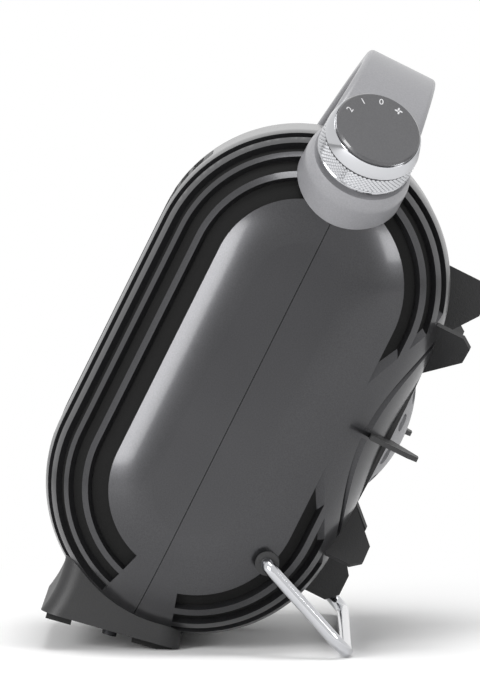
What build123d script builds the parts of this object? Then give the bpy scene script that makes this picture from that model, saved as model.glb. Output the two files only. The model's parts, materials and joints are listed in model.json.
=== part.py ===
"""Ceramic fan heater, propped back on its chrome stand.

Sizes are in millimetres. The casing is a tall oval pod whose seam plane leans back. Its own
directions are "back" (away from the hot-air outlet), "up" along the seam, and X across.
The row frame has +Z up, +Y to the rear, and its origin where the rear foot pad meets the floor.
"""
import os
from math import asin, cos, radians, sin, tan

from build123d import *

# Stance
lean = 26.5                 # how far the seam leans back when the stand is out
lean_upright = 10.7         # the same lean when the foot stands flat
tilt = lean - lean_upright

# Casing
half_width = 90.0
half_height = 122.0
half_depth = 70.0
edge_radius = 50.0          # rounding between the flank and the outline
wall = 3.0
run_half = half_height - half_depth     # half the straight part of the oval outline

# Front outlet
outlet_side = 46.0          # from the widest part of the casing, its top and its bottom
outlet_below_top = 36.0
outlet_above_bottom = 44.0
outlet_corner = 22.0
grille_rim = 5.0
grille_thick = 5.0
liner_thick = 1.2           # black screen behind the grooves, which also ties their strips
liner_beside = 2.0          # how far the liners start beside the outlet
seam_gap = 0.3              # a thin shadow line between the two shells
slat_thick = 2.4
slat_pitch = 8.2
mullion_thick = 2.4
mullion_pitch = 28.0

# Grooves beside the outlet and beside the inlet, as angles on the rounded edge
front_groove_angles = ((13.5, 20.5), (27.0, 35.5), (39.5, 50.0), (54.0, 66.5))
rear_groove_angles = ((17.0, 25.0), (31.0, 40.0), (45.0, 56.0))
groove_end = 16.0           # how far past the middle of each end arc a groove stops short

# Rear inlet
fan_height = 5.0            # fan axis above the middle of the casing
inlet_radius = 54.0
inlet_fit = 0.3
ring_radii = (58.5, 64.5, 70.5)
ring_slot = 3.4
clear_strip_radius = 84.0
inlet_lip = 4.0
bar_thick = 2.2
bar_count = 24
inlet_ring_radii = (35.5, 41.5, 47.5)
hub_radius = 30.0
inlet_deep = 10.0
dome_rise = 7.7
dome_wall = 2.4
dome_hole_radius = 23.0
dome_hole_long = 9.0
dome_hole_short = 5.0

# Wall fins
fin_count = 8
fin_thick = 2.2
fin_reach = 84.0            # how far behind the seam the fin tips stand
fin_outer = 83.0
fin_root_back = 60.0
fin_tip_inner = 68.0
fin_root_inner = 49.0
fin_chamfer = 5.0

# Foot
foot_rear = 17.0            # where the flat base meets the rear bevel, behind the seam
foot_below = 6.5            # the same line below the casing's lowest point
foot_length = 56.0
foot_in = 30.0              # the foot's sides, in from the casing's widest part
foot_flare = 7.0
foot_high = 42.0
foot_wall = 3.0
foot_corner = 9.0
pad_bevel = 7.0             # the strip that the heater stands on when it leans back
pad_length = 12.0
pad_thick = 3.2
pad_in = 8.0
plate_thick = 2.5
base_screw_in = 6.5
screw_grip = 5.5

# Stand
stand_in = 26.5             # pivot, in from the casing's rearmost part
stand_below = 15.0          # and below the middle of its bottom arc
stand_length = 54.0
stand_rod = 3.0
stand_gap = 3.4             # between the rod and the widest part of the casing
stand_bend = 11.0
stand_pin_depth = 21.0
bush_wall = 2.5
bush_in = 16.0              # where a bush starts, in from the casing's widest part
pin_bend = 4.5
running_fit = 0.06

# Knob and its collar, measured along the knob's axis from the shoulder's centre
knob_angle = 44.0
shoulder_depth = 40.0       # from the surface down to the datum that knob heights start from
collar_radius = 25.0
collar_top_radius = 22.8
collar_top = 54.0
collar_rim = 4.0
collar_floor = 50.0
neck_radius = 17.5
neck_top = 56.0
ring_radius = 22.5
ring_low = 57.2
ring_high = 75.6
ring_top_radius = 20.6
cap_radius = 20.0
cap_low = 60.0
cap_top = 77.7
cap_edge = 0.8
knob_shaft_radius = 3.0
knob_gap = 0.3

# Switch under the knob
switch_low = 12.0
switch_high = 14.0
switch_side = 26.0
bracket_sheet = 2.0
bracket_radius = 17.0

# Handle
handle_rise = 40.0          # above the casing's highest point
handle_thick = 9.0
handle_foot_in = 15.0       # where its outside meets the casing, from the widest part and the top
handle_foot_below = 14.0
handle_half_wide = 25.0
handle_half_narrow = 17.0
handle_edge = 2.5

# Fan, motor and heating element
fan_radius = 44.0
fan_front = 36.0
fan_rear = 52.0
fan_hub_radius = 14.0
blade_count = 7
blade_thick = 1.6
blade_pitch = 32.0
shroud_bore = 46.0
shroud_wall = 2.5
duct_rear = 20.0
duct_plate = 4.0
duct_half_width = 54.0
duct_half_height = 64.0
duct_wall = 2.0
motor_rear = 12.0
bracket_thick = 4.0
bracket_long = 68.0
bracket_wide = 16.0
stator_thick = 18.0
stator_high = 62.0
stator_bore = 15.4
rotor_radius = 15.0
rotor_thick = 16.0
shaft_radius = 2.5
bush_radius = 6.0
bush_length = 6.0
bolt_radius = 1.8
bolt_head_radius = 3.4
bolt_head_thick = 2.2
bolt_spread = 28.0
coil_wide = 34.0
coil_high = 9.0
coil_over = 5.0
element_front = -50.0
element_thick = 16.0
element_border = 5.0
ceramic_count = 4
ceramic_thick = 2.6
fin_pitch = 4.0
fin_sheet = 0.6

# Small parts
screw_radius = 1.75
screw_head_radius = 3.5
screw_head_thick = 2.4
boss_radius = 4.5
case_screw_x = 36.0
case_screw_in = 25.0        # in from the casing's highest and lowest points
screw_hold = 14.0
screw_seat = 24.0
seat_radius = 4.2
terminal_spread = 60.0
gland_x = -34.0
gland_turn = 45.0           # below straight back, round the bottom of the casing
gland_radius = 6.0
gland_bore = 3.6


# Sizes that follow from the ones above
outlet_width = 2 * (half_width - outlet_side)
outlet_top = half_height - outlet_below_top
outlet_bottom = half_height - outlet_above_bottom
liner_inner = outlet_width / 2 + liner_beside
foot_drop = half_height + foot_below
foot_half_width = half_width - foot_in
pad_half_width = foot_half_width - pad_in
screw_spread = foot_half_width - base_screw_in
stand_back = half_depth - stand_in
stand_drop = run_half + stand_below
bush_inner_x = half_width - bush_in
handle_top = half_height + handle_rise
handle_foot_spread = half_width - handle_foot_in
handle_foot_height = half_height - handle_foot_below
case_screw_up = half_height - case_screw_in


def case_back_dir():
    return Vector(0, cos(radians(lean)), -sin(radians(lean)))


def case_up_dir():
    return Vector(0, sin(radians(lean)), cos(radians(lean)))


# The middle of the casing, so that the middle of the rear pad's bevel is the origin.
bevel_back = foot_rear + pad_bevel / 2 * cos(radians(lean))
bevel_drop = foot_drop - pad_bevel / 2 * sin(radians(lean))
middle = case_up_dir() * bevel_drop - case_back_dir() * bevel_back

# Three planes through the middle: seen from the flank (back, up), from the front (X, up)
# and from above (X, back).
flank = Plane(origin=middle, x_dir=case_back_dir(), z_dir=(1, 0, 0))
face = Plane(origin=middle, x_dir=(1, 0, 0), z_dir=case_back_dir() * -1)
level = Plane(origin=middle, x_dir=(1, 0, 0), z_dir=case_up_dir())


def at(x, back, up):
    """A place given in the casing's own directions."""
    return middle + Vector(x, 0, 0) + case_back_dir() * back + case_up_dir() * up


def keep(piece, name):
    piece.part.label = name
    export_step(piece.part, f"parts/{name}.step")


def oval(inset):
    """The casing's outline as a sketch, drawn in by an inset."""
    return SlotOverall(2 * (half_height - inset), 2 * (half_depth - inset), rotation=90)


os.makedirs("parts", exist_ok=True)

# Construction forms of the casing: its outer skin, its hollow, and the back of the grille.
with BuildPart() as case_form:
    with BuildSketch(flank.offset(-half_width)):
        oval(0)
    extrude(amount=2 * half_width)
    rims = case_form.faces().filter_by(GeomType.PLANE).filter_by(lambda f: abs(f.normal_at().X) > 0.9)
    fillet(rims.edges(), edge_radius)

with BuildPart() as case_hollow:
    with BuildSketch(flank.offset(wall - half_width)):
        oval(wall)
    extrude(amount=2 * (half_width - wall))
    rims = case_hollow.faces().filter_by(GeomType.PLANE).filter_by(lambda f: abs(f.normal_at().X) > 0.9)
    fillet(rims.edges(), edge_radius - wall)

with BuildPart() as liner_form:
    with BuildSketch(flank.offset(wall + liner_thick - half_width)):
        oval(wall + liner_thick)
    extrude(amount=2 * (half_width - wall - liner_thick))
    rims = liner_form.faces().filter_by(GeomType.PLANE).filter_by(lambda f: abs(f.normal_at().X) > 0.9)
    fillet(rims.edges(), edge_radius - wall - liner_thick)

with BuildPart() as grille_back:
    with BuildSketch(flank.offset(-half_width)):
        oval(grille_thick + 0.6)
    extrude(amount=2 * half_width)


def groove_cutter(angles, front):
    """Grooves that follow the outline on both rounded edges, for the front or the rear half."""
    side = -1 if front else 1
    with BuildPart() as cutter:
        for low, high in angles:
            for hand in (-1, 1):
                with BuildSketch(level):
                    with BuildLine():
                        centre = (hand * (half_width - edge_radius), side * (half_depth - edge_radius))
                        inner = edge_radius - wall - 1
                        outer = edge_radius + 3
                        ends = []
                        for radius in (inner, outer):
                            for angle in (low, high):
                                ends.append((centre[0] + hand * radius * sin(radians(angle)),
                                             centre[1] + side * radius * cos(radians(angle))))
                        Polyline(ends[0], ends[2], ends[3], ends[1], close=True)
                    make_face()
                extrude(amount=run_half, both=True)
        profile = cutter.faces().filter_by(lambda f: abs(f.normal_at().dot(case_up_dir())) > 0.9)
        for end in (-1, 1):
            caps = profile.filter_by(lambda f: (f.center() - middle).dot(case_up_dir()) * end > 0)
            axis = Axis(at(0, 0, end * run_half), (1, 0, 0))
            turn = (90 - groove_end) * (1 if end * side > 0 else -1)
            for cap in caps:
                add(Solid.revolve(cap, turn, axis))
    return cutter.part


front_grooves = groove_cutter(front_groove_angles, True)
rear_grooves = groove_cutter(rear_groove_angles, False)
knob_dir = Vector(cos(radians(knob_angle)), 0, 0) + case_up_dir() * sin(radians(knob_angle))
shoulder = at(half_width - edge_radius, 0, half_height - edge_radius) + knob_dir * (edge_radius - shoulder_depth)
knob_plane = Plane(origin=shoulder, x_dir=case_back_dir(), z_dir=knob_dir)
inlet = Plane(origin=at(0, 0, fan_height), x_dir=(1, 0, 0), z_dir=case_back_dir())

with BuildPart() as knob_hole:
    with BuildSketch(knob_plane):
        Circle(knob_shaft_radius + 1)
    extrude(amount=shoulder_depth + 5)

# Screw bosses: a plain pilot in the front shell, a counterbored tower in the rear shell.
inlet_level = Plane(origin=middle, x_dir=(1, 0, 0), z_dir=case_back_dir())
gland_dir = case_back_dir() * cos(radians(gland_turn)) - case_up_dir() * sin(radians(gland_turn))
gland_plane = Plane(origin=at(gland_x, 0, -run_half), x_dir=(1, 0, 0), z_dir=gland_dir)

with BuildPart() as front_bosses:
    with BuildSketch(inlet_level.offset(-half_depth)):
        with GridLocations(2 * case_screw_x, 2 * case_screw_up, 2, 2):
            Circle(boss_radius)
    extrude(amount=half_depth)
    with BuildSketch(inlet_level.offset(-screw_hold)):
        with GridLocations(2 * case_screw_x, 2 * case_screw_up, 2, 2):
            Circle(screw_radius)
    extrude(amount=screw_hold, mode=Mode.SUBTRACT)
    add(case_hollow.part, mode=Mode.INTERSECT)

with BuildPart() as rear_bosses:
    with BuildSketch(inlet_level):
        with GridLocations(2 * case_screw_x, 2 * case_screw_up, 2, 2):
            Circle(seat_radius + 2)
    extrude(amount=half_depth)
    add(case_hollow.part, mode=Mode.INTERSECT)

with BuildPart() as rear_boss_bores:
    with BuildSketch(inlet_level):
        with GridLocations(2 * case_screw_x, 2 * case_screw_up, 2, 2):
            Circle(screw_radius)
    extrude(amount=screw_seat)
    with BuildSketch(inlet_level.offset(screw_seat)):
        with GridLocations(2 * case_screw_x, 2 * case_screw_up, 2, 2):
            Circle(seat_radius)
    extrude(amount=half_depth)

with BuildPart() as pin_holes:
    with BuildSketch(flank.offset(-half_width - 1)):
        with Locations((stand_back, -stand_drop)):
            Circle(stand_rod + bush_wall)
    extrude(amount=2 * half_width + 2)

with BuildPart() as front_shell:
    add(case_form.part)
    add(case_hollow.part, mode=Mode.SUBTRACT)
    split(bisect_by=face, keep=Keep.TOP)
    with BuildSketch(face):
        with Locations((0, (outlet_top - outlet_bottom) / 2)):
            RectangleRounded(outlet_width, outlet_top + outlet_bottom, outlet_corner)
    extrude(amount=half_depth + 5, mode=Mode.SUBTRACT)
    add(front_grooves, mode=Mode.SUBTRACT)
    add(front_bosses.part)
    add(knob_hole.part, mode=Mode.SUBTRACT)
keep(front_shell, "front_shell")

# The rear grooves stop short of a smooth strip around the inlet's rings.
with BuildPart() as rear_groove_form:
    add(rear_grooves)
    with BuildSketch(inlet):
        Circle(clear_strip_radius)
    extrude(amount=half_depth + 10, mode=Mode.SUBTRACT)

with BuildPart() as ring_grooves:
    with BuildSketch(inlet.offset(edge_radius - 10)):
        for radius in ring_radii:
            Circle(radius + ring_slot)
            Circle(radius, mode=Mode.SUBTRACT)
        for turn in range(0, 180, 45):
            Rectangle(2 * clear_strip_radius, 5, rotation=turn, mode=Mode.SUBTRACT)
    extrude(amount=half_depth)

with BuildPart() as rear_shell:
    add(case_form.part)
    add(case_hollow.part, mode=Mode.SUBTRACT)
    split(bisect_by=face.offset(-seam_gap), keep=Keep.BOTTOM)
    add(rear_groove_form.part, mode=Mode.SUBTRACT)
    add(ring_grooves.part, mode=Mode.SUBTRACT)
    with BuildSketch(inlet):
        Circle(inlet_radius + inlet_fit)
    extrude(amount=half_depth + 5, mode=Mode.SUBTRACT)
    add(knob_hole.part, mode=Mode.SUBTRACT)
    add(pin_holes.part, mode=Mode.SUBTRACT)
    add(rear_bosses.part)
    add(rear_boss_bores.part, mode=Mode.SUBTRACT)
    with BuildSketch(gland_plane):
        Circle(gland_radius)
    extrude(amount=half_depth + 5, mode=Mode.SUBTRACT)
keep(rear_shell, "rear_shell")

# Liners: black screens against the inside of both shells, behind the grooves.
with BuildPart() as liner_skin:
    add(case_hollow.part)
    add(liner_form.part, mode=Mode.SUBTRACT)
    with BuildSketch(knob_plane):
        Circle(bracket_radius + knob_gap)
    extrude(amount=shoulder_depth + 5, mode=Mode.SUBTRACT)
    add(pin_holes.part, mode=Mode.SUBTRACT)

with BuildPart() as rear_liner_room:
    for hand in (-1, 1):
        with BuildSketch(flank.offset(hand * liner_inner)):
            Rectangle(2 * half_depth, 2 * half_height)
        extrude(amount=hand * half_width)
    with BuildSketch(inlet):
        Circle(clear_strip_radius)
    extrude(amount=half_depth)
    with BuildSketch(inlet):
        Circle(inlet_radius + inlet_lip + inlet_fit)
    extrude(amount=half_depth, mode=Mode.SUBTRACT)

for name, hand in (("front_liner_right", 1), ("front_liner_left", -1)):
    with BuildPart() as front_liner:
        add(liner_skin.part)
        split(bisect_by=face, keep=Keep.TOP)
        split(bisect_by=flank.offset(hand * liner_inner), keep=Keep.TOP if hand > 0 else Keep.BOTTOM)
    keep(front_liner, name)

with BuildPart() as rear_liner:
    add(liner_skin.part)
    split(bisect_by=face, keep=Keep.BOTTOM)
    add(rear_liner_room.part, mode=Mode.INTERSECT)
keep(rear_liner, "rear_liner")

# Outlet grille: a curved panel of level slats with a few uprights, lipped behind the opening.
outlet_height = outlet_top + outlet_bottom
outlet_middle = (outlet_top - outlet_bottom) / 2
with BuildPart() as front_grille:
    with BuildSketch(face):
        with Locations((0, outlet_middle)):
            RectangleRounded(outlet_width - 2 * inlet_fit, outlet_height - 2 * inlet_fit, outlet_corner)
            RectangleRounded(outlet_width - 2 * grille_rim, outlet_height - 2 * grille_rim,
                             outlet_corner - grille_rim, mode=Mode.SUBTRACT)
            with GridLocations(1, slat_pitch, 1, int((outlet_height - 2 * grille_rim) / slat_pitch)):
                Rectangle(outlet_width - 2 * grille_rim + 2, slat_thick)
            with GridLocations(mullion_pitch, 1, 3, 1):
                Rectangle(mullion_thick, outlet_height - grille_rim)
    extrude(amount=half_depth - 0.6)
    add(case_form.part, mode=Mode.INTERSECT)
    add(grille_back.part, mode=Mode.SUBTRACT)
keep(front_grille, "front_grille")

inlet_centre = at(0, 0, fan_height)
inlet_axis = Axis(inlet_centre, case_back_dir())


def inlet_half(angle):
    """A plane through the fan's axis: local x is outwards from it, local y is rearwards."""
    out = Vector(cos(radians(angle)), 0, 0) + case_up_dir() * sin(radians(angle))
    return Plane(origin=inlet_centre, x_dir=out, z_dir=out.cross(case_back_dir()))


with BuildPart() as wall_fins:
    for turn in range(fin_count):
        with BuildSketch(inlet_half(turn * 360 / fin_count)):
            Polygon((fin_root_inner, fin_root_back), (fin_root_inner, half_depth), (fin_tip_inner, fin_reach),
                    (fin_outer - fin_chamfer, fin_reach), (fin_outer, fin_reach - fin_chamfer),
                    (fin_outer, fin_root_back), align=None)
        extrude(amount=fin_thick / 2, both=True)
    add(case_form.part, mode=Mode.SUBTRACT)
    with BuildSketch(inlet.offset(fin_root_back)):
        Circle(inlet_radius)
    extrude(amount=half_depth - fin_root_back, mode=Mode.SUBTRACT)
keep(wall_fins, "wall_fins")

flange_back = half_depth - wall
with BuildPart() as rear_grille:
    with BuildSketch(inlet.offset(flange_back - inlet_lip + 0.5)):
        Circle(inlet_radius + inlet_lip)
        Circle(inlet_radius - inlet_lip, mode=Mode.SUBTRACT)
    extrude(amount=inlet_lip)
    add(case_hollow.part, mode=Mode.INTERSECT)
    with BuildSketch(inlet.offset(half_depth - inlet_deep)):
        Circle(inlet_radius)
        Circle(inlet_radius - inlet_lip, mode=Mode.SUBTRACT)
    extrude(amount=inlet_deep)
    with BuildSketch(inlet.offset(half_depth - inlet_lip)):
        with PolarLocations((hub_radius + inlet_radius) / 2 - 2, bar_count):
            Rectangle(inlet_radius - hub_radius, bar_thick)
        for radius in inlet_ring_radii:
            Circle(radius + bar_thick / 2)
            Circle(radius - bar_thick / 2, mode=Mode.SUBTRACT)
            with PolarLocations((hub_radius + inlet_radius) / 2 - 2, bar_count):
                Rectangle(inlet_radius - hub_radius, bar_thick)
        Circle(hub_radius)
    extrude(amount=inlet_lip)
keep(rear_grille, "rear_grille")

dome_ball = (hub_radius ** 2 + dome_rise ** 2) / (2 * dome_rise)
with BuildPart() as rear_dome:
    with BuildSketch(inlet_half(0)):
        with Locations((0, half_depth + dome_rise - dome_ball)):
            Circle(dome_ball)
            Circle(dome_ball - dome_wall, mode=Mode.SUBTRACT)
        with Locations((hub_radius, half_depth + dome_rise)):
            Rectangle(2 * hub_radius, 2 * dome_rise, mode=Mode.INTERSECT)
    revolve(axis=inlet_axis)
    with BuildSketch(inlet.offset(half_depth)):
        with PolarLocations(dome_hole_radius, fin_count, start_angle=180 / fin_count):
            SlotOverall(dome_hole_long, dome_hole_short, rotation=90)
    extrude(amount=2 * dome_rise, mode=Mode.SUBTRACT)
keep(rear_dome, "rear_dome")

# Foot: its own plane lies on the flat base, with y to the rear from where the bevel starts.
base_up = case_up_dir() * cos(radians(lean_upright)) - case_back_dir() * sin(radians(lean_upright))
base_back = case_up_dir() * sin(radians(lean_upright)) + case_back_dir() * cos(radians(lean_upright))
base_origin = at(0, foot_rear, -foot_drop)
base = Plane(origin=base_origin, x_dir=(1, 0, 0), z_dir=base_up)
base_side = Plane(origin=base_origin, x_dir=base_back, z_dir=(1, 0, 0))
foot_back = (pad_thick - 0.3) / tan(radians(tilt))


def foot_profile(inset, low):
    """The foot from the side, drawn in by an inset, from a low line up into the casing."""
    front = -foot_length + inset
    with BuildLine() as outline:
        a = Polyline((front, low), (foot_back - inset, low), (foot_back - inset - foot_flare, foot_high - inset),
                     (front + 2, foot_high - inset))
        ThreePointArc(a @ 1, (front + foot_flare / 2 + 1, (low + foot_high) / 2), a @ 0)
    make_face(outline.edges())


with BuildPart() as foot:
    with BuildSketch(base_side.offset(-foot_half_width)):
        foot_profile(0, pad_thick)
    extrude(amount=2 * foot_half_width)
    fillet(foot.edges().filter_by(lambda e: abs(e.tangent_at(0.5).X) < 0.1)
           .filter_by(lambda e: abs(e.tangent_at(0.5).dot(base_up)) > 0.8), foot_corner)
    with BuildSketch(base_side.offset(foot_wall - foot_half_width)):
        foot_profile(foot_wall, pad_thick)
    extrude(amount=2 * (foot_half_width - foot_wall), mode=Mode.SUBTRACT)
    with BuildSketch(base.offset(pad_thick + plate_thick)):
        with Locations((0, (foot_back - foot_length) / 2)):
            with GridLocations(2 * screw_spread, 0.1, 2, 1):
                Circle(boss_radius)
    extrude(amount=foot_high - pad_thick - plate_thick)
    with BuildSketch(base.offset(pad_thick + plate_thick)):
        with Locations((0, (foot_back - foot_length) / 2)):
            with GridLocations(2 * screw_spread, 0.1, 2, 1):
                Circle(screw_radius)
    extrude(amount=screw_grip, mode=Mode.SUBTRACT)
    add(case_form.part, mode=Mode.SUBTRACT)
keep(foot, "foot")

with BuildPart() as base_plate:
    with BuildSketch(base.offset(pad_thick)):
        with Locations((0, (foot_back - foot_length) / 2)):
            Rectangle(2 * (foot_half_width - foot_wall) - 0.4, foot_length + foot_back - 2 * foot_wall - 6)
            with GridLocations(2 * screw_spread, 0.1, 2, 1):
                Circle(screw_radius, mode=Mode.SUBTRACT)
    extrude(amount=plate_thick)
keep(base_plate, "base_plate")

with BuildPart() as foot_pads:
    with BuildSketch(base_side.offset(-pad_half_width)):
        Polygon((-pad_length, 0), (0, 0), (pad_bevel * cos(radians(tilt)), pad_bevel * sin(radians(tilt))),
                (pad_bevel * cos(radians(tilt)), pad_thick), (-pad_length, pad_thick), align=None)
        with Locations((-foot_length + foot_wall + pad_length / 2, pad_thick / 2)):
            Rectangle(pad_length, pad_thick)
    extrude(amount=2 * pad_half_width)
keep(foot_pads, "foot_pads")

with BuildPart() as base_screws:
    with BuildSketch(base.offset(pad_thick - screw_head_thick)):
        with Locations((0, (foot_back - foot_length) / 2)):
            with GridLocations(2 * screw_spread, 0.1, 2, 1):
                Circle(screw_head_radius)
    extrude(amount=screw_head_thick)
    with BuildSketch(base.offset(pad_thick)):
        with Locations((0, (foot_back - foot_length) / 2)):
            with GridLocations(2 * screw_spread, 0.1, 2, 1):
                Circle(screw_radius)
    extrude(amount=plate_thick + screw_grip)
keep(base_screws, "base_screws")

# Stand: one bent rod, with a pin end in a bush on each flank.
arm_x = half_width + stand_gap
pivot = at(0, stand_back, -stand_drop)
stand_dip = asin((pivot.Z - stand_rod) / stand_length)
stand_tip = pivot + Vector(0, stand_length * cos(stand_dip), -stand_length * sin(stand_dip))


def across(place, x):
    return (x, place.Y, place.Z)


with BuildPart() as stand:
    with BuildLine() as rod_path:
        FilletPolyline(across(pivot, arm_x - stand_pin_depth), across(pivot, arm_x), across(stand_tip, arm_x),
                       across(stand_tip, -arm_x), across(pivot, -arm_x),
                       across(pivot, stand_pin_depth - arm_x),
                       radius=[pin_bend, stand_bend, stand_bend, pin_bend])
    with BuildSketch(Plane(origin=rod_path.line @ 0, z_dir=rod_path.line % 0)):
        Circle(stand_rod)
    sweep()
keep(stand, "stand")

with BuildPart() as stand_bushes:
    for hand in (-1, 1):
        with BuildSketch(flank.offset(hand * bush_inner_x)):
            with Locations((stand_back, -stand_drop)):
                Circle(stand_rod + bush_wall)
                Circle(stand_rod + running_fit, mode=Mode.SUBTRACT)
        extrude(amount=hand * (arm_x - pin_bend - 0.5 - bush_inner_x))
keep(stand_bushes, "stand_bushes")

# Knob stack on the near shoulder, turned about the knob's axis.
knob_axis = Axis(shoulder, knob_dir)
knob_side = Plane(origin=shoulder, x_dir=case_back_dir(), z_dir=case_back_dir().cross(knob_dir))

with BuildPart() as knob_collar:
    with BuildSketch(knob_side):
        with BuildLine():
            Polyline((knob_shaft_radius + 1, shoulder_depth - 14), (collar_radius, shoulder_depth - 14),
                     (collar_radius, collar_top - 2 * collar_rim))
            ThreePointArc((collar_radius, collar_top - 2 * collar_rim),
                          (collar_radius - 0.5, collar_top - collar_rim), (collar_top_radius, collar_top))
            Polyline((collar_top_radius, collar_top), (neck_radius + 1.5, collar_top),
                     (neck_radius + 1.5, collar_floor), (knob_shaft_radius + 1, collar_floor),
                     (knob_shaft_radius + 1, shoulder_depth - 14))
        make_face()
    revolve(axis=knob_axis)
    add(case_form.part, mode=Mode.SUBTRACT)
keep(knob_collar, "knob_collar")

with BuildPart() as knob_ring:
    with BuildSketch(knob_side):
        Polygon((knob_shaft_radius, collar_floor + knob_gap), (neck_radius, collar_floor + knob_gap),
                (neck_radius, ring_low), (ring_radius, ring_low), (ring_radius, ring_high - 7),
                (ring_top_radius, ring_high), (cap_radius, ring_high), (cap_radius, cap_low),
                (knob_shaft_radius, cap_low), align=None)
    revolve(axis=knob_axis)
keep(knob_ring, "knob_ring")

with BuildPart() as knob_cap:
    with BuildSketch(knob_plane.offset(cap_low)):
        Circle(cap_radius)
    extrude(amount=cap_top - cap_low)
    chamfer(knob_cap.faces().sort_by(knob_axis)[-1].edges(), cap_edge)
keep(knob_cap, "knob_cap")

with BuildPart() as knob_shaft:
    with BuildSketch(knob_plane.offset(switch_low + 3)):
        Circle(knob_shaft_radius)
    extrude(amount=cap_low - switch_low - 3)
keep(knob_shaft, "knob_shaft")

with BuildPart() as rotary_switch:
    with BuildSketch(knob_plane.offset(switch_low)):
        RectangleRounded(switch_side, switch_side, 3)
    extrude(amount=switch_high)
    with BuildSketch(knob_plane.offset(switch_low + switch_high)):
        Circle(knob_shaft_radius + 2.5)
    extrude(amount=bracket_sheet + 1.5)
    with BuildSketch(knob_plane.offset(switch_low)):
        with GridLocations(8, 8, 3, 1):
            Rectangle(0.8, 5)
    extrude(amount=-6)
    with BuildSketch(knob_plane.offset(switch_low + 3 - knob_gap)):
        Circle(knob_shaft_radius + running_fit)
    extrude(amount=shoulder_depth, mode=Mode.SUBTRACT)
keep(rotary_switch, "rotary_switch")

with BuildPart() as switch_bracket:
    with BuildSketch(knob_plane.offset(switch_low + switch_high)):
        Circle(bracket_radius)
        Circle(knob_shaft_radius + 2.5, mode=Mode.SUBTRACT)
    extrude(amount=bracket_sheet)
    with BuildSketch(knob_plane.offset(switch_low + switch_high + bracket_sheet)):
        Circle(bracket_radius)
        Circle(bracket_radius - wall, mode=Mode.SUBTRACT)
    extrude(amount=shoulder_depth)
    add(case_hollow.part, mode=Mode.INTERSECT)
keep(switch_bracket, "switch_bracket")

# Handle: an arch from flank to flank, narrowing towards its top, cut to sit on the shoulders.
arch_rise = handle_top - handle_foot_height
arch_radius = (handle_foot_spread ** 2 + arch_rise ** 2) / (2 * arch_rise)
arch_centre = handle_top - arch_radius
with BuildPart() as collar_room:
    with BuildSketch(knob_plane):
        Circle(collar_radius)
    extrude(amount=cap_top + 2)

with BuildPart() as handle:
    with BuildSketch(face.offset(-handle_half_wide)):
        with Locations((0, arch_centre)):
            Circle(arch_radius)
            Circle(arch_radius - handle_thick, mode=Mode.SUBTRACT)
        with Locations((0, handle_top)):
            Rectangle(4 * handle_foot_spread, 2 * (handle_top - handle_foot_height + 22), mode=Mode.INTERSECT)
    extrude(amount=2 * handle_half_wide)
    with BuildSketch(flank.offset(-2 * handle_foot_spread)):
        Polygon((-handle_half_wide, 0), (handle_half_wide, 0), (handle_half_wide, handle_foot_height - 12),
                (handle_half_narrow, handle_top + 1), (-handle_half_narrow, handle_top + 1),
                (-handle_half_wide, handle_foot_height - 12), align=None)
    extrude(amount=4 * handle_foot_spread, mode=Mode.INTERSECT)
    long_edges = handle.edges().filter_by(lambda e: abs((e @ 0.5 - middle).dot(case_back_dir())) > handle_half_narrow - 1)
    long_edges = long_edges.filter_by(lambda e: e.length > 3 * handle_half_wide)
    fillet(long_edges, handle_edge)
    add(case_form.part, mode=Mode.SUBTRACT)
    add(collar_room.part, mode=Mode.SUBTRACT)
keep(handle, "handle")

# Air path: a box duct from the outlet grille to the fan, and a round shroud about the fan.
with BuildPart() as air_duct:
    with BuildSketch(inlet.offset(-half_depth)):
        Rectangle(2 * duct_half_width, 2 * duct_half_height)
    extrude(amount=half_depth + duct_rear)
    add(grille_back.part, mode=Mode.INTERSECT)
    add(liner_form.part, mode=Mode.INTERSECT)
    with BuildSketch(inlet.offset(-half_depth)):
        Rectangle(2 * (duct_half_width - duct_wall), 2 * (duct_half_height - duct_wall))
    extrude(amount=half_depth + duct_rear - duct_plate, mode=Mode.SUBTRACT)
    with BuildSketch(inlet.offset(duct_rear - duct_plate)):
        Circle(shroud_bore)
        Rectangle(2 * shroud_bore, bracket_wide, mode=Mode.SUBTRACT)
        Circle(bolt_spread + 6, mode=Mode.SUBTRACT)
    extrude(amount=duct_plate, mode=Mode.SUBTRACT)
    with BuildSketch(inlet.offset(duct_rear - duct_plate)):
        Circle(bush_radius + 2)
        with GridLocations(2 * bolt_spread, 1, 2, 1):
            Circle(bolt_radius)
    extrude(amount=duct_plate, mode=Mode.SUBTRACT)
keep(air_duct, "air_duct")

shroud_end = flange_back - inlet_lip + 0.5
with BuildPart() as fan_shroud:
    with BuildSketch(inlet.offset(duct_rear)):
        Circle(shroud_bore + shroud_wall)
        Circle(shroud_bore, mode=Mode.SUBTRACT)
    extrude(amount=shroud_end - duct_rear)
    with BuildSketch(inlet.offset(shroud_end - shroud_wall)):
        Circle(inlet_radius - inlet_lip)
        Circle(shroud_bore, mode=Mode.SUBTRACT)
    extrude(amount=shroud_wall)
keep(fan_shroud, "fan_shroud")

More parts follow.
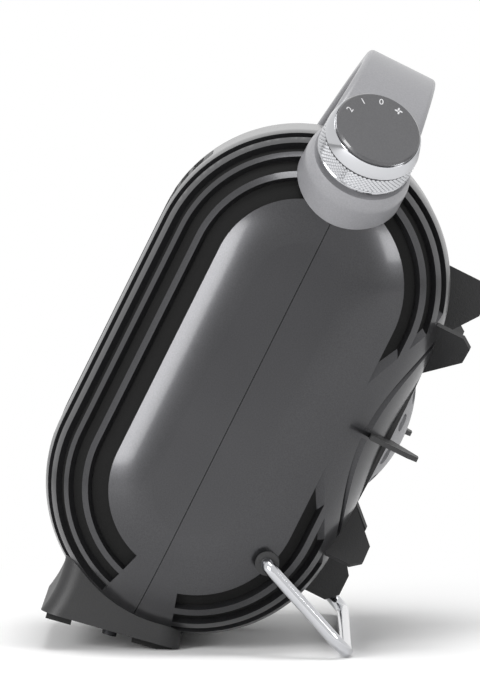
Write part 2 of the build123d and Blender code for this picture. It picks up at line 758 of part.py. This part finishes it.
with BuildPart() as fan_impeller:
    for turn in range(blade_count):
        spin = turn * 360 / blade_count
        half = inlet_half(spin)
        middle_back = (fan_front + fan_rear) / 2
        out = half.x_dir
        sideways = case_back_dir().cross(out)
        pitch = radians(blade_pitch)
        chord = case_back_dir() * sin(pitch) + sideways * cos(pitch)
        blade = Plane(origin=inlet_centre + case_back_dir() * middle_back, x_dir=out, z_dir=out.cross(chord))
        with BuildSketch(blade.offset(-blade_thick / 2)):
            with BuildLine() as blade_line:
                reach = (fan_rear - fan_front) / 2 / sin(pitch)
                Polyline((fan_hub_radius - 2, -reach * 0.45), (fan_radius * 0.8, -reach * 0.8))
                ThreePointArc((fan_radius * 0.8, -reach * 0.8), (fan_radius - 2, 0), (fan_radius * 0.8, reach * 0.8))
                Polyline((fan_radius * 0.8, reach * 0.8), (fan_hub_radius - 2, reach * 0.45),
                         (fan_hub_radius - 2, -reach * 0.45))
            make_face()
        extrude(amount=blade_thick)
    with BuildSketch(inlet.offset(fan_front)):
        Circle(fan_hub_radius)
    extrude(amount=fan_rear - fan_front)
    with BuildSketch(inlet.offset(fan_front - 1)):
        Circle(shaft_radius)
    extrude(amount=fan_rear - fan_front - 2, mode=Mode.SUBTRACT)
keep(fan_impeller, "fan_impeller")

# Motor, from the duct's rear plate forwards: rear bracket, stator stack, front bracket.
motor_front = motor_rear - stator_thick

for name, start in (("motor_rear_bracket", motor_rear), ("motor_front_bracket", motor_front - bracket_thick)):
    with BuildPart() as bracket:
        with BuildSketch(inlet.offset(start)):
            Rectangle(bracket_long, bracket_wide)
            Circle(bush_radius + 3)
            Circle(bush_radius, mode=Mode.SUBTRACT)
            with GridLocations(2 * bolt_spread, 1, 2, 1):
                Circle(bolt_radius, mode=Mode.SUBTRACT)
        extrude(amount=bracket_thick)
    keep(bracket, name)

with BuildPart() as motor_bushes:
    for start in (motor_rear, motor_front - bush_length):
        with BuildSketch(inlet.offset(start)):
            Circle(bush_radius)
            Circle(shaft_radius + running_fit, mode=Mode.SUBTRACT)
        extrude(amount=bush_length)
keep(motor_bushes, "motor_bushes")

with BuildPart() as motor_stator:
    with BuildSketch(inlet.offset(motor_front)):
        Rectangle(2 * bolt_spread + 10, stator_high)
        Circle(stator_bore, mode=Mode.SUBTRACT)
        with Locations((0, stator_high / 2 - coil_high)):
            with GridLocations(coil_wide + 5, 1, 2, 1):
                Rectangle(5, coil_high, mode=Mode.SUBTRACT)
        with GridLocations(2 * bolt_spread, 1, 2, 1):
            Circle(bolt_radius, mode=Mode.SUBTRACT)
    extrude(amount=stator_thick)
keep(motor_stator, "motor_stator")

with BuildPart() as motor_coil:
    with BuildSketch(inlet.offset(motor_front - coil_over)):
        with Locations((0, stator_high / 2 - coil_high)):
            Rectangle(coil_wide, coil_high)
    extrude(amount=coil_over)
    with BuildSketch(inlet.offset(motor_rear)):
        with Locations((0, stator_high / 2 - coil_high)):
            Rectangle(coil_wide, coil_high)
    extrude(amount=duct_plate)
keep(motor_coil, "motor_coil")

with BuildPart() as motor_rotor:
    with BuildSketch(inlet.offset(motor_front + (stator_thick - rotor_thick) / 2)):
        Circle(rotor_radius)
        Circle(shaft_radius, mode=Mode.SUBTRACT)
    extrude(amount=rotor_thick)
keep(motor_rotor, "motor_rotor")

with BuildPart() as motor_shaft:
    with BuildSketch(inlet.offset(motor_front - bush_length - 2)):
        Circle(shaft_radius)
    extrude(amount=fan_rear - 3 - (motor_front - bush_length - 2))
keep(motor_shaft, "motor_shaft")

with BuildPart() as motor_bolts:
    for hand in (-1, 1):
        with BuildSketch(inlet.offset(motor_front - bracket_thick - bolt_head_thick)):
            with Locations((hand * bolt_spread, 0)):
                Circle(bolt_head_radius)
        extrude(amount=bolt_head_thick)
        with BuildSketch(inlet.offset(motor_front - bracket_thick)):
            with Locations((hand * bolt_spread, 0)):
                Circle(bolt_radius)
        extrude(amount=duct_rear - motor_front + bracket_thick)
keep(motor_bolts, "motor_bolts")

# Heating element: ceramic bars between rows of thin metal fins, in a frame inside the duct.
frame_wide = 2 * (duct_half_width - duct_wall - inlet_fit)
frame_high = 2 * (duct_half_height - duct_wall - inlet_fit)
row_wide = frame_wide - 2 * element_border
row_high = (frame_high - 2 * element_border - ceramic_count * ceramic_thick) / (ceramic_count + 1)
row_pitch = row_high + ceramic_thick

with BuildPart() as element_frame:
    with BuildSketch(inlet.offset(element_front)):
        Rectangle(frame_wide, frame_high)
        Rectangle(row_wide, frame_high - 2 * element_border, mode=Mode.SUBTRACT)
    extrude(amount=element_thick)
keep(element_frame, "element_frame")

with BuildPart() as ceramic_bars:
    with BuildSketch(inlet.offset(element_front + 2)):
        with GridLocations(1, row_pitch, 1, ceramic_count):
            Rectangle(row_wide, ceramic_thick)
    extrude(amount=element_thick - 4)
keep(ceramic_bars, "ceramic_bars")

with BuildPart() as radiator_fins:
    with BuildSketch(inlet.offset(element_front + 2)):
        with GridLocations(1, row_pitch, 1, ceramic_count + 1):
            Rectangle(row_wide, row_high)
            Rectangle(row_wide, row_high - 2 * fin_sheet, mode=Mode.SUBTRACT)
            with GridLocations(fin_pitch, 1, int(row_wide / fin_pitch), 1):
                Rectangle(fin_sheet, row_high)
    extrude(amount=element_thick - 4)
keep(radiator_fins, "radiator_fins")

with BuildPart() as element_terminals:
    with BuildSketch(inlet.offset(element_front + element_thick)):
        with GridLocations(terminal_spread, frame_high - element_border, 2, 2):
            Rectangle(6.3, 0.8)
    extrude(amount=10)
keep(element_terminals, "element_terminals")

with BuildPart() as thermal_cutout:
    with BuildSketch(inlet.offset(element_front + element_thick)):
        with Locations((0, frame_high / 2 - element_border / 2)):
            RectangleRounded(14, element_border, 1)
    extrude(amount=9)
keep(thermal_cutout, "thermal_cutout")

# Switch, terminals and gland in the bottom of the casing.
with BuildPart() as tip_over_switch:
    with BuildSketch(level.offset(-half_height)):
        with Locations((10, 8)):
            Rectangle(16, 14)
    extrude(amount=24)
    add(case_hollow.part, mode=Mode.INTERSECT)
keep(tip_over_switch, "tip_over_switch")

with BuildPart() as terminal_block:
    with BuildSketch(level.offset(-half_height)):
        with Locations((-24, 8)):
            Rectangle(32, 14)
    extrude(amount=18)
    add(case_hollow.part, mode=Mode.INTERSECT)
keep(terminal_block, "terminal_block")

with BuildPart() as cord_gland:
    with BuildSketch(gland_plane.offset(half_depth - wall - 4)):
        Circle(gland_radius)
        Circle(gland_bore, mode=Mode.SUBTRACT)
    extrude(amount=wall + 6)
    with BuildSketch(gland_plane.offset(half_depth)):
        Circle(gland_radius + 2.5)
        Circle(gland_bore, mode=Mode.SUBTRACT)
    extrude(amount=1.6)
keep(cord_gland, "cord_gland")

with BuildPart() as case_screws:
    with BuildSketch(inlet_level.offset(-screw_hold)):
        with GridLocations(2 * case_screw_x, 2 * case_screw_up, 2, 2):
            Circle(screw_radius)
    extrude(amount=screw_hold + screw_seat)
    with BuildSketch(inlet_level.offset(screw_seat)):
        with GridLocations(2 * case_screw_x, 2 * case_screw_up, 2, 2):
            Circle(screw_head_radius)
    extrude(amount=screw_head_thick)
keep(case_screws, "case_screws")
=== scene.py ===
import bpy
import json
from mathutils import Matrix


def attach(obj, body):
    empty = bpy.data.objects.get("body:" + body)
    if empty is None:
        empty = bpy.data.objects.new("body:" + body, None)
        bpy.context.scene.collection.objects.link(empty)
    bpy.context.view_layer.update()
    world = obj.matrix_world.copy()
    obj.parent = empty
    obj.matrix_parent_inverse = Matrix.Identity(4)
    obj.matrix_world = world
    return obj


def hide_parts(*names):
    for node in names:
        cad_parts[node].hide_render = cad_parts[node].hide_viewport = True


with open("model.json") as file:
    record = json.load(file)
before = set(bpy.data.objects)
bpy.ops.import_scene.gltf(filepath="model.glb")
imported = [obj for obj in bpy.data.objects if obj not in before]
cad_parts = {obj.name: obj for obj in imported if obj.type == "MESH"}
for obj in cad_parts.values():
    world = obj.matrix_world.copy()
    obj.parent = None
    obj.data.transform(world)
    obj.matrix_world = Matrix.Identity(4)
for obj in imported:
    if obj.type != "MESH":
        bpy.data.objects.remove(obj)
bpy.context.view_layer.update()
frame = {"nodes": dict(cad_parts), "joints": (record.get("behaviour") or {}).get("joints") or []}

import json
from math import cos, pi, radians, sin

import bmesh
import bpy
from mathutils import Matrix, Vector

node = frame["nodes"]

# Casing: two moulded ABS shells, sprayed with a grey metallic lacquer and left satin.
# They meet on one straight seam, which leans back when the heater rests on its stand.
LEAN = radians(26.5)
BACK = Vector((0, cos(LEAN), -sin(LEAN)))
UP = Vector((0, sin(LEAN), cos(LEAN)))
FLAKE = 0.0006      # the lacquer's flakes are finer; drawn this coarse so that they show
FAN_ABOVE_MIDDLE = 0.005

fan_joint = next(joint for joint in frame["joints"] if joint["name"] == "fan_spin")
knob_joint = next(joint for joint in frame["joints"] if joint["name"] == "knob_turn")
MIDDLE = Vector(fan_joint["pos_m"]) - UP * FAN_ABOVE_MIDDLE


def linear(code):
    """An sRGB hex colour as linear light."""
    parts = [int(code[i:i + 2], 16) / 255 for i in (1, 3, 5)]
    return tuple(p / 12.92 if p <= 0.04045 else ((p + 0.055) / 1.055) ** 2.4 for p in parts) + (1,)


def add(tree, kind, links=None, values=None, **settings):
    """Adds a node, with its settings, its constant inputs and what is linked into it."""
    made = tree.nodes.new(kind)
    for name, value in settings.items():
        setattr(made, name, value)
    for name, value in (values or {}).items():
        made.inputs[name].default_value = value
    for name, source in (links or {}).items():
        tree.links.new(source, made.inputs[name])
    return made


def new_material(name, **sockets):
    """A material with one shader, whose constants are set on the shader's own sockets."""
    material = bpy.data.materials.new(name)
    material.use_nodes = True
    tree = material.node_tree
    shader = tree.nodes["Principled BSDF"]
    for socket, value in sockets.items():
        shader.inputs[socket.replace("_", " ")].default_value = value
    place = add(tree, "ShaderNodeTexCoord").outputs["Object"]
    return material, tree, shader, place


GRAIN_HIGH = 0.0002     # metres, for a bump of full strength


def moulded(name, dark, pale, grain, depth, **sockets):
    """Moulded plastic or paint: a fine grain in the surface and a faint change of tone."""
    material, tree, shader, place = new_material(name, **sockets)
    fine = add(tree, "ShaderNodeTexNoise", {"Vector": place}, {"Scale": 1 / grain, "Detail": 2.0})
    broad = add(tree, "ShaderNodeTexNoise", {"Vector": place}, {"Scale": 22.0, "Detail": 3.0})
    both = add(tree, "ShaderNodeMix", {"A": fine.outputs["Fac"], "B": broad.outputs["Fac"]}, {"Factor": 0.3})
    tone = add(tree, "ShaderNodeValToRGB", {"Fac": both.outputs[0]})
    tone.color_ramp.elements[0].position = 0.25
    tone.color_ramp.elements[0].color = linear(dark)
    tone.color_ramp.elements[1].position = 0.75
    tone.color_ramp.elements[1].color = linear(pale)
    tree.links.new(tone.outputs["Color"], shader.inputs["Base Color"])
    bump = add(tree, "ShaderNodeBump", {"Height": fine.outputs["Fac"]},
               {"Strength": depth, "Distance": GRAIN_HIGH})
    tree.links.new(bump.outputs["Normal"], shader.inputs["Normal"])
    return material, tree, shader, place


def dress(piece, material):
    piece.data.materials.clear()
    piece.data.materials.append(material)


lacquer, tree, shader, place = moulded("grey_metallic_lacquer_on_ABS", "#38383a", "#454547", FLAKE, 0.08,
                                       Metallic=0.8, Roughness=0.3, Coat_Weight=0.3, Coat_Roughness=0.12)
for name in ("front_shell", "rear_shell"):
    dress(node[name], lacquer)

# Grilles and the foot: black glass-filled nylon, moulded with a fine spark-eroded grain.
# The grain gives a dull surface with a soft highlight along the edges.
black_nylon, *_ = moulded("black_moulded_nylon", "#141415", "#1f1f20", 0.0007, 0.35, Roughness=0.5)
for name in ("front_grille", "rear_grille", "wall_fins", "foot", "base_plate", "stand_bushes", "cord_gland",
             "air_duct", "fan_shroud", "tip_over_switch", "thermal_cutout"):
    dress(node[name], black_nylon)

# Liners: dull black screens just behind the casing's slots, coloured near-black as painted shade so that the
# slots read as black lines.
# They are moulded in the same nylon, painted darker than the grilles to stand for the shade inside the slots,
# with a coarse matt finish which throws back very little light.
slot_shade_nylon, *_ = moulded("black_nylon_painted_slot_shade", "#060606", "#0b0b0b", 0.0010, 0.5, Roughness=0.85,
                           Specular_IOR_Level=0.25)
for name in ("front_liner_right", "front_liner_left", "rear_liner"):
    dress(node[name], slot_shade_nylon)

# Inlet dome: a small mid-grey ABS cap with one oval hole between each pair of fins.
grey_abs, *_ = moulded("mid_grey_ABS", "#6f6f72", "#808083", 0.0008, 0.2, Roughness=0.38)
dress(node["rear_dome"], grey_abs)

# Handle and knob collar: one grey ABS moulding to the eye, satin, a shade paler than the casing.
strap_abs, *_ = moulded("satin_grey_ABS", "#7c7c7f", "#8b8b8e", 0.0008, 0.15, Roughness=0.34,
                        Coat_Weight=0.15)
for name in ("handle", "knob_collar"):
    dress(node[name], strap_abs)

# Foot pads: strips of matt black silicone rubber under the foot.
rubber, *_ = moulded("black_silicone_rubber", "#0e0e0e", "#161616", 0.0010, 0.5, Roughness=0.8)
dress(node["foot_pads"], rubber)

# Stand: one steel rod, bent cold and chrome plated. Polishing leaves very faint lines.
chrome, tree, shader, place = new_material("chrome_plate_on_steel", Base_Color=linear("#c2c3c6"),
                                           Metallic=1.0)
haze = add(tree, "ShaderNodeTexNoise", {"Vector": place}, {"Scale": 900.0, "Detail": 2.0})
rough = add(tree, "ShaderNodeMapRange", {"Value": haze.outputs["Fac"]}, {"To Min": 0.06, "To Max": 0.14})
tree.links.new(rough.outputs["Result"], shader.inputs["Roughness"])
dress(node["stand"], chrome)

# Steel small parts inside: brackets, shafts, bolts and screws, zinc plated.
zinc, *_ = moulded("zinc_plated_steel", "#9a9b9d", "#b3b4b6", 0.0009, 0.2, Metallic=1.0, Roughness=0.35)
for name in ("motor_rear_bracket", "motor_front_bracket", "motor_shaft", "motor_bolts", "switch_bracket",
             "knob_shaft", "element_terminals"):
    dress(node[name], zinc)
black_zinc, *_ = moulded("black_zinc_steel", "#1c1c1e", "#29292b", 0.0008, 0.2, Metallic=0.9, Roughness=0.4)
for name in ("base_screws", "case_screws"):
    dress(node[name], black_zinc)

# Motor: varnished laminations, a cast aluminium rotor, sintered bronze bushes.
SHEET_PITCH = 0.001
laminated, tree, shader, place = new_material("varnished_laminations", Metallic=0.7, Roughness=0.45)
sheet = add(tree, "ShaderNodeVectorMath", {0: place}, {1: tuple(BACK)}, operation="DOT_PRODUCT")
lines = add(tree, "ShaderNodeMath", {0: sheet.outputs["Value"]}, {1: 2 * pi / SHEET_PITCH},
            operation="MULTIPLY")
wave = add(tree, "ShaderNodeMath", {0: lines.outputs[0]}, operation="SINE")
tone = add(tree, "ShaderNodeValToRGB", {"Fac": wave.outputs[0]})
tone.color_ramp.elements[0].color = linear("#33343a")
tone.color_ramp.elements[1].color = linear("#565860")
tree.links.new(tone.outputs["Color"], shader.inputs["Base Color"])
dress(node["motor_stator"], laminated)

aluminium, *_ = moulded("mill_finish_aluminium", "#b4b5b7", "#c8c9cb", 0.0008, 0.2, Metallic=1.0,
                        Roughness=0.3)
bronze, *_ = moulded("sintered_bronze", "#8f6b3c", "#a88048", 0.0006, 0.5, Metallic=1.0, Roughness=0.5)
copper, *_ = moulded("enamelled_copper_wire", "#8a4a24", "#a85c2e", 0.0006, 0.8, Metallic=0.8, Roughness=0.3)
dress(node["motor_rotor"], aluminium)
dress(node["radiator_fins"], aluminium)
dress(node["motor_bushes"], bronze)
dress(node["motor_coil"], copper)

# Heating element and fan: a cream heat-proof frame, dark ceramic bars, a milky nylon fan.
cream, *_ = moulded("cream_heatproof_plastic", "#c9c2b2", "#d8d2c4", 0.0009, 0.3, Roughness=0.5)
ceramic, *_ = moulded("dark_ceramic", "#4b423c", "#5c534c", 0.0007, 0.4, Roughness=0.7)
for name in ("element_frame", "fan_impeller", "rotary_switch", "terminal_block"):
    dress(node[name], cream)
dress(node["ceramic_bars"], ceramic)

# Knob ring: turned brass, bright chromed, with a band of diamond knurling that the fingers grip.
# The knurl is pressed in as small four-sided points in rows, each row half a step round.
SHOULDER = Vector(knob_joint["pos_m"])
KNOB = Vector(knob_joint["axis"]).normalized()
KNOB_UP = KNOB.cross(BACK)
KNOB_FRAME = Matrix((BACK, KNOB_UP, KNOB)).transposed().to_4x4()
KNOB_FRAME.translation = SHOULDER
RING_R = 0.0225
RING_LOW = 0.0572
RING_HIGH = 0.0756
RING_TOP_R = 0.0206
CAP_R = 0.020
NECK_R = 0.0175
NECK_LOW = 0.0503
SHAFT_HOLE_R = 0.0031
CUP_FLOOR = 0.0600      # the ring is a cup that holds the cap
BAND_LOW = 0.0590
BAND_ROWS = 8
BAND_ROUND = 66         # points in a row
POINT_DEEP = 0.00045


def turned(name, outline, frame_matrix, around=128):
    """A closed outline of (radius, height) points, spun about the knob's axis."""
    mesh = bmesh.new()
    rows = []
    for step in range(around):
        turn = 2 * pi * step / around
        rows.append([mesh.verts.new((r * cos(turn), r * sin(turn), h)) for r, h in outline])
    for step in range(around):
        here, there = rows[step], rows[(step + 1) % around]
        for i in range(len(outline)):
            j = (i + 1) % len(outline)
            mesh.faces.new((here[i], there[i], there[j], here[j]))
    bmesh.ops.remove_doubles(mesh, verts=mesh.verts, dist=1e-6)
    bmesh.ops.recalc_face_normals(mesh, faces=mesh.faces)
    mesh.transform(frame_matrix)
    data = bpy.data.meshes.new(name)
    mesh.to_mesh(data)
    mesh.free()
    data.shade_smooth()
    data.set_sharp_from_angle(angle=radians(35))
    made = bpy.data.objects.new(name, data)
    bpy.context.scene.collection.objects.link(made)
    return made


POINT_R = RING_R - POINT_DEEP
band_high = BAND_LOW + BAND_ROWS * 2 * pi * POINT_R / BAND_ROUND / 2
LOW_LIP_R = RING_R - 0.0001
HIGH_LIP_R = RING_R - 0.0002
CUP_R = CAP_R + 0.00015
knob_ring = turned("knurled_ring", [
    (SHAFT_HOLE_R, NECK_LOW), (NECK_R, NECK_LOW), (NECK_R, RING_LOW), (RING_R - 0.0006, RING_LOW),
    (LOW_LIP_R, RING_LOW + 0.0005), (LOW_LIP_R, BAND_LOW - 0.0006), (POINT_R, BAND_LOW - 0.0002),
    (POINT_R, band_high + 0.0002), (HIGH_LIP_R, band_high + 0.0007), (HIGH_LIP_R, band_high + 0.0016),
    (RING_TOP_R + 0.0003, RING_HIGH - 0.0004), (RING_TOP_R, RING_HIGH), (CUP_R, RING_HIGH),
    (CUP_R, CUP_FLOOR), (SHAFT_HOLE_R, CUP_FLOOR)], KNOB_FRAME)
dress(knob_ring, chrome)

knurl = bpy.data.node_groups.new("diamond_knurl", "GeometryNodeTree")
knurl.interface.new_socket("Geometry", in_out="OUTPUT", socket_type="NodeSocketGeometry")
for label, kind in (("Rows", "Int"), ("Round", "Int"), ("Radius", "Float"), ("Step", "Float"),
                    ("Depth", "Float"), ("Finish", "Material")):
    knurl.interface.new_socket(label, in_out="INPUT", socket_type="NodeSocket" + kind)
given = add(knurl, "NodeGroupInput").outputs
rise = add(knurl, "ShaderNodeCombineXYZ", {"Z": given["Step"]})
rows = add(knurl, "GeometryNodeMeshLine", {"Count": given["Rows"], "Offset": rise.outputs[0]},
           mode="OFFSET")
circle = add(knurl, "GeometryNodeMeshCircle", {"Vertices": given["Round"], "Radius": given["Radius"]})
index = add(knurl, "GeometryNodeInputIndex")
half = add(knurl, "ShaderNodeMath", {1: given["Round"]}, {0: pi}, operation="DIVIDE")
turn = add(knurl, "ShaderNodeMath", {0: index.outputs[0], 1: half.outputs[0]}, operation="MULTIPLY")
spin = add(knurl, "ShaderNodeCombineXYZ", {"Z": turn.outputs[0]})
ringed = add(knurl, "GeometryNodeInstanceOnPoints",
             {"Points": rows.outputs["Mesh"], "Instance": circle.outputs["Mesh"],
              "Rotation": spin.outputs[0]})
spots = add(knurl, "GeometryNodeRealizeInstances", {"Geometry": ringed.outputs["Instances"]})
where = add(knurl, "GeometryNodeInputPosition")
outwards = add(knurl, "ShaderNodeVectorMath", {0: where.outputs[0]}, {1: (1, 1, 0)}, operation="MULTIPLY")
facing = add(knurl, "FunctionNodeAxesToRotation", {"Primary Axis": outwards.outputs[0]},
             {"Secondary Axis": (0, 0, 1)}, primary_axis="Z", secondary_axis="X")
point = add(knurl, "GeometryNodeMeshCone", {"Depth": given["Depth"], "Radius Bottom": given["Step"]},
            {"Vertices": 4, "Radius Top": 0.0}, fill_type="NONE")
points = add(knurl, "GeometryNodeInstanceOnPoints",
             {"Points": spots.outputs[0], "Instance": point.outputs["Mesh"], "Rotation": facing.outputs[0]})
solid = add(knurl, "GeometryNodeRealizeInstances", {"Geometry": points.outputs["Instances"]})
painted = add(knurl, "GeometryNodeSetMaterial", {"Geometry": solid.outputs[0], "Material": given["Finish"]})
add(knurl, "NodeGroupOutput", {"Geometry": painted.outputs[0]})


def grown(name, tree, settings):
    """Runs a Geometry Nodes tree and keeps its result as a plain mesh."""
    holder = bpy.data.objects.new(name, bpy.data.meshes.new(name))
    bpy.context.scene.collection.objects.link(holder)
    modifier = holder.modifiers.new(name, "NODES")
    modifier.node_group = tree
    for socket in tree.interface.items_tree:
        if socket.in_out == "INPUT" and socket.name in settings:
            modifier[socket.identifier] = settings[socket.name]
    shown = holder.evaluated_get(bpy.context.evaluated_depsgraph_get())
    mesh = bpy.data.meshes.new_from_object(shown)
    holder.modifiers.remove(modifier)
    holder.data = mesh
    return holder


row_step = pi * POINT_R / BAND_ROUND
knurl_points = grown("knurl_points", knurl, {
    "Rows": BAND_ROWS, "Round": BAND_ROUND, "Radius": POINT_R, "Step": row_step, "Depth": POINT_DEEP,
    "Finish": chrome})
knurl_points.data.transform(KNOB_FRAME @ Matrix.Translation((0, 0, BAND_LOW + row_step / 2)))
for piece in (knob_ring, knurl_points):
    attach(piece, "knob")
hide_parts("knob_ring")

# Knob cap: a smooth dark-grey disc in the ring, printed with plain numbers and a fan sign.
# Its edge is chamfered and catches the light as a thin bright line.
CAP_TOP = 0.0777
MARK_HIGH = 0.0032
MARK_R = 0.0155
PRINT_THICK = 0.00005
CAPITAL = 0.7           # a figure's height as a share of the font's size
DIAL_MARKS = (("2", 171), ("1", 138), ("0", 105))
FAN_SIGN = 72
cap_abs, *_ = moulded("dark_grey_gloss_ABS", "#434345", "#4e4e50", 0.0008, 0.05, Roughness=0.22,
                      Coat_Weight=0.4)
print_ink, *_ = moulded("pale_grey_print", "#b9b9bb", "#c9c9cb", 0.0006, 0.05, Roughness=0.5)
dress(node["knob_cap"], cap_abs)

marks = bmesh.new()
for sign, angle in DIAL_MARKS:
    letter = bpy.data.curves.new("mark", "FONT")
    letter.body = sign
    letter.size = MARK_HIGH / CAPITAL
    letter.align_x = "CENTER"
    letter.align_y = "CENTER"
    letter.extrude = PRINT_THICK
    holder = bpy.data.objects.new("mark", letter)
    bpy.context.scene.collection.objects.link(holder)
    flat = bpy.data.meshes.new_from_object(holder.evaluated_get(bpy.context.evaluated_depsgraph_get()))
    flat.transform(Matrix.Translation((MARK_R * cos(radians(angle)), MARK_R * sin(radians(angle)), CAP_TOP))
                   @ Matrix.Rotation(radians(angle - 90), 4, "Z"))
    marks.from_mesh(flat)
    bpy.data.objects.remove(holder)
sign_at = Matrix.Translation((MARK_R * cos(radians(FAN_SIGN)), MARK_R * sin(radians(FAN_SIGN)), CAP_TOP))
for blade in range(4):
    leaf_at = (sign_at @ Matrix.Rotation(pi / 2 * blade, 4, "Z")
               @ Matrix.Translation((MARK_HIGH * 0.32, MARK_HIGH * 0.1, PRINT_THICK))
               @ Matrix.Diagonal((1.35, 0.7, 1, 1)))
    bmesh.ops.create_circle(marks, cap_ends=True, segments=16, radius=MARK_HIGH * 0.2, matrix=leaf_at)
marks.transform(KNOB_FRAME)
mark_data = bpy.data.meshes.new("dial_marks")
marks.to_mesh(mark_data)
marks.free()
dial_marks = bpy.data.objects.new("dial_marks", mark_data)
bpy.context.scene.collection.objects.link(dial_marks)
dress(dial_marks, print_ink)
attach(dial_marks, "knob")

# Floor: a white seamless sheet. It holds the object's shadow, and farther out it is plain white
# to the camera, so that no horizon shows.
SHADOW_NEAR = 0.10
SHADOW_FAR = 0.34
SHADOW_MIDDLE = (0.0, 0.035, 0.0)
floor_data = bpy.data.meshes.new("floor")
floor_data.from_pydata([(-9, -9, 0), (9, -9, 0), (9, 9, 0), (-9, 9, 0)], [], [(0, 1, 2, 3)])
floor = bpy.data.objects.new("floor", floor_data)
bpy.context.scene.collection.objects.link(floor)
paper, tree, shader, place = new_material("white_paper", Base_Color=linear("#fbfbfb"), Roughness=0.9)
far = add(tree, "ShaderNodeVectorMath", {0: place}, {1: SHADOW_MIDDLE}, operation="DISTANCE")
fade = add(tree, "ShaderNodeMapRange", {"Value": far.outputs["Value"]},
           {"From Min": SHADOW_NEAR, "From Max": SHADOW_FAR}, interpolation_type="SMOOTHERSTEP")
ray = add(tree, "ShaderNodeLightPath").outputs
seen = add(tree, "ShaderNodeMath", {0: fade.outputs["Result"], 1: ray["Is Camera Ray"]}, operation="MULTIPLY")
plain = add(tree, "ShaderNodeEmission", values={"Color": (1, 1, 1, 1), "Strength": 1.0})
both = add(tree, "ShaderNodeMixShader", {0: seen.outputs[0], 1: shader.outputs[0], 2: plain.outputs[0]})
tree.links.new(both.outputs[0], tree.nodes["Material Output"].inputs["Surface"])
dress(floor, paper)

# Room: white to the camera and to metal, and dimmer as light on the object, with three soft lamps.
# The front lamp lies where the flank's rounding throws it to the camera, as a bright band by the slots.
ROOM_LIGHT = 0.45
world = bpy.data.worlds.new("pale_room")
bpy.context.scene.world = world
world.use_nodes = True
tree = world.node_tree
tree.nodes.clear()
ray = add(tree, "ShaderNodeLightPath").outputs
seen = ray["Is Camera Ray"]
for kind in ("Is Transmission Ray", "Is Glossy Ray"):
    seen = add(tree, "ShaderNodeMath", {0: seen, 1: ray[kind]}, operation="MAXIMUM").outputs[0]
level = add(tree, "ShaderNodeMapRange", {"Value": seen}, {"To Min": ROOM_LIGHT, "To Max": 1.0})
sky = add(tree, "ShaderNodeBackground", {"Strength": level.outputs[0]}, {"Color": (1, 1, 1, 1)})
add(tree, "ShaderNodeOutputWorld", {"Surface": sky.outputs[0]})


def lamp(name, place, target, size, watts):
    light = bpy.data.lights.new(name, "AREA")
    light.size = size
    light.energy = watts
    holder = bpy.data.objects.new(name, light)
    holder.location = place
    holder.rotation_euler = (Vector(target) - Vector(place)).to_track_quat("-Z", "Y").to_euler()
    bpy.context.scene.collection.objects.link(holder)


lamp("front_softbox", (1.3, -1.0, 0.66), (0, 0.03, 0.12), 0.75, 21)
lamp("top_softbox", (0.25, 0.1, 1.7), (0, 0.05, 0.12), 0.8, 15)
lamp("rear_softbox", (0.9, 1.5, 0.7), (0, 0.05, 0.12), 0.5, 8)

# Camera: a little above the casing and square to its flank, far enough off to draw it almost flat.
TURN = radians(90.4)
RISE = radians(3.9)
DISTANCE = 3.0
FRAME_PIXELS = (480, 700)
METRES_PER_PIXEL = 0.000467
AIM_RIGHT = -0.0039
AIM_UP = 0.0119
right = Vector((cos(TURN), sin(TURN), 0))
forward = Vector((-sin(TURN) * cos(RISE), cos(TURN) * cos(RISE), -sin(RISE)))
above = right.cross(forward)
aim = MIDDLE + right * AIM_RIGHT + above * AIM_UP
camera_data = bpy.data.cameras.new("camera")
camera_data.sensor_width = 36
camera_data.lens = 36 * DISTANCE / (FRAME_PIXELS[1] * METRES_PER_PIXEL)
camera = bpy.data.objects.new("camera", camera_data)
camera.location = aim - forward * DISTANCE
camera.rotation_euler = forward.to_track_quat("-Z", "Y").to_euler()
bpy.context.scene.collection.objects.link(camera)
bpy.context.scene.camera = camera
bpy.context.scene.view_settings.view_transform = "Standard"
